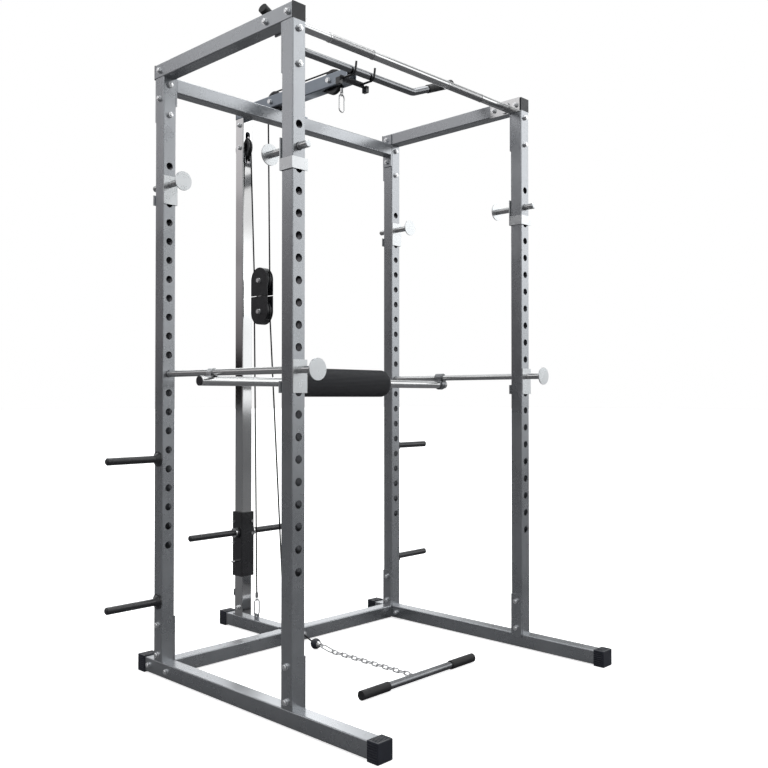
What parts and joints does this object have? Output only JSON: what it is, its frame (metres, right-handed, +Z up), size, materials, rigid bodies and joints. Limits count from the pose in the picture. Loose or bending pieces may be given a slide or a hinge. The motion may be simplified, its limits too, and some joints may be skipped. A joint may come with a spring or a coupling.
{
  "type": "power cage",
  "caption": "Power cage of bolted square tube with a plate-loaded lat and row cable tower, twist-lock bar hooks, safety bars and a foam knee hold-down.",
  "frame": {"origin": "on the floor, in the middle of the cage's width and of the whole length of its base", "axes": "+X across the cage to its right side, +Y from the open front to the cable tower, +Z up"},
  "size_m": [1.592, 1.495, 2.2398],
  "materials": {
    "frame_paint": "semi-gloss metallic grey enamel",
    "chrome_post": "polished chrome",
    "bright_chrome": "bright plated steel",
    "zinc": "bright zinc plate",
    "black_rubber": "matte moulded rubber",
    "black_plastic": "fine moulded texture",
    "black_paint": "satin black powder coat",
    "dark_chrome": "satin plated steel",
    "foam": "matte foam sleeve",
    "cable_sheath": "nylon-coated wire rope"
  },
  "bodies": {
    "frame": {"floor_rail_left": "frame_paint", "floor_rail_right": "frame_paint", "upright_front_left": "frame_paint", "upright_front_right": "frame_paint", "upright_rear_left": "frame_paint", "upright_rear_right": "frame_paint", "top_rail_left": "frame_paint", "top_rail_right": "frame_paint", "rear_top_crossmember": "frame_paint", "rear_bottom_crossmember": "frame_paint", "tower_base_beam": "frame_paint", "top_boom": "frame_paint", "low_pulley_bracket": "frame_paint", "guide_post": "chrome_post", "pull_up_bar": "bright_chrome", "cable_ends": "bright_chrome", "snap_hooks": "bright_chrome", "frame_bolts": "zinc", "frame_nuts": "zinc", "pulley_axles": "zinc", "row_chain": "zinc", "block_straps": "zinc", "rubber_boots": "black_rubber", "ball_stop": "black_rubber", "bumper_pad": "black_rubber", "row_bar_grips": "black_rubber", "end_plugs": "black_plastic", "block_covers": "black_plastic", "storage_pegs": "black_paint", "lat_bar_rest": "black_paint", "row_bar": "dark_chrome", "upper_cable": "cable_sheath", "lower_cable": "cable_sheath", "lat_cable_drop": "cable_sheath", "carriage_cable_drop": "cable_sheath"},
    "carriage": {"carriage_sleeve": "black_paint", "slide_liners": "black_plastic", "weight_pegs": "black_paint", "spring_collars": "bright_chrome", "carriage_fittings": "bright_chrome"},
    "lat_end": {"lat_cable_end": "bright_chrome"},
    "front_pulley": {"boom_pulley_front": "black_plastic"},
    "rear_pulley": {"boom_pulley_rear": "black_plastic"},
    "post_wheel": {"post_pulley": "black_plastic"},
    "low_wheel": {"low_pulley": "black_plastic"},
    "upper_block_wheel": {"block_wheel_upper": "black_plastic"},
    "lower_block_wheel": {"block_wheel_lower": "black_plastic"},
    "hook_front_left": {"bar_hook_front_left": "bright_chrome"},
    "hook_front_right": {"bar_hook_front_right": "bright_chrome"},
    "hook_rear_left": {"bar_hook_rear_left": "bright_chrome"},
    "hook_rear_right": {"bar_hook_rear_right": "bright_chrome"},
    "safety_left": {"safety_bar_left": "bright_chrome"},
    "safety_right": {"safety_bar_right": "bright_chrome"},
    "hold_down": {"hold_down_tube": "bright_chrome", "hold_down_clip": "bright_chrome", "hold_down_clamp": "zinc", "hold_down_plugs": "black_plastic"},
    "roller": {"foam_roller": "foam"},
    "lat_bar_body": {"lat_bar": "dark_chrome", "lat_bar_grips": "black_rubber"}
  },
  "joints": [
    {"name": "carriage_slide", "type": "slide", "parent": "frame", "child": "carriage", "axis": [0, 0, 1], "range_m": [0, 0.9], "deforming": ["carriage_cable_drop"]},
    {"name": "lat_pull", "type": "slide", "parent": "frame", "child": "lat_end", "axis": [0, 0, -1], "range_m": [0, 0.9], "deforming": ["lat_cable_drop"]},
    {"name": "front_pulley_spin", "type": "hinge", "parent": "frame", "child": "front_pulley", "pos_m": [0, 0.0725, 2.151], "axis": [1, 0, 0], "continuous": true},
    {"name": "rear_pulley_spin", "type": "hinge", "parent": "frame", "child": "rear_pulley", "pos_m": [0, 0.4175, 2.151], "axis": [1, 0, 0], "continuous": true},
    {"name": "post_wheel_spin", "type": "hinge", "parent": "frame", "child": "post_wheel", "pos_m": [0, 0.6225, 2.006], "axis": [1, 0, 0], "continuous": true},
    {"name": "low_wheel_spin", "type": "hinge", "parent": "frame", "child": "low_wheel", "pos_m": [0, 0.3145, 0.116], "axis": [1, 0, 0], "continuous": true},
    {"name": "upper_block_spin", "type": "hinge", "parent": "frame", "child": "upper_block_wheel", "pos_m": [0, 0.5005, 1.4385], "axis": [1, 0, 0], "continuous": true},
    {"name": "lower_block_spin", "type": "hinge", "parent": "frame", "child": "lower_block_wheel", "pos_m": [0, 0.5005, 1.3115], "axis": [1, 0, 0], "continuous": true},
    {"name": "hook_front_left_twist", "type": "hinge", "parent": "frame", "child": "hook_front_left", "pos_m": [-0.575, -0.3725, 1.6965], "axis": [0, 1, 0], "range_deg": [0, 90]},
    {"name": "hook_front_right_twist", "type": "hinge", "parent": "frame", "child": "hook_front_right", "pos_m": [0.575, -0.3725, 1.6965], "axis": [0, 1, 0], "range_deg": [0, 90]},
    {"name": "hook_rear_left_twist", "type": "hinge", "parent": "frame", "child": "hook_rear_left", "pos_m": [-0.575, 0.3115, 1.6965], "axis": [0, -1, 0], "range_deg": [0, 90]},
    {"name": "hook_rear_right_twist", "type": "hinge", "parent": "frame", "child": "hook_rear_right", "pos_m": [0.575, 0.3115, 1.6965], "axis": [0, -1, 0], "range_deg": [0, 90]},
    {"name": "safety_left_twist", "type": "hinge", "parent": "frame", "child": "safety_left", "pos_m": [-0.575, -0.3725, 1.0415], "axis": [0, -1, 0], "range_deg": [0, 90]},
    {"name": "safety_right_twist", "type": "hinge", "parent": "frame", "child": "safety_right", "pos_m": [0.575, -0.3725, 1.0415], "axis": [0, -1, 0], "range_deg": [0, 90]},
    {"name": "hold_down_shift", "type": "slide", "parent": "frame", "child": "hold_down", "axis": [0, 1, 0], "range_m": [-0.15, 0.15]},
    {"name": "roller_spin", "type": "hinge", "parent": "hold_down", "child": "roller", "pos_m": [0, 0.0325, 1.0141], "axis": [1, 0, 0], "continuous": true},
    {"name": "lat_bar_lift", "type": "slide", "parent": "frame", "child": "lat_bar_body", "axis": [0, 0, 1], "range_m": [0, 0.08]}
  ],
  "couplings": [
    {"joint": "lat_pull", "follows": "carriage_slide", "ratio": 1},
    {"joint": "front_pulley_spin", "follows": "carriage_slide", "rad_per_m": 22.222},
    {"joint": "rear_pulley_spin", "follows": "carriage_slide", "rad_per_m": 22.222},
    {"joint": "post_wheel_spin", "follows": "carriage_slide", "rad_per_m": 22.222},
    {"joint": "upper_block_spin", "follows": "carriage_slide", "rad_per_m": -20}
  ]
}
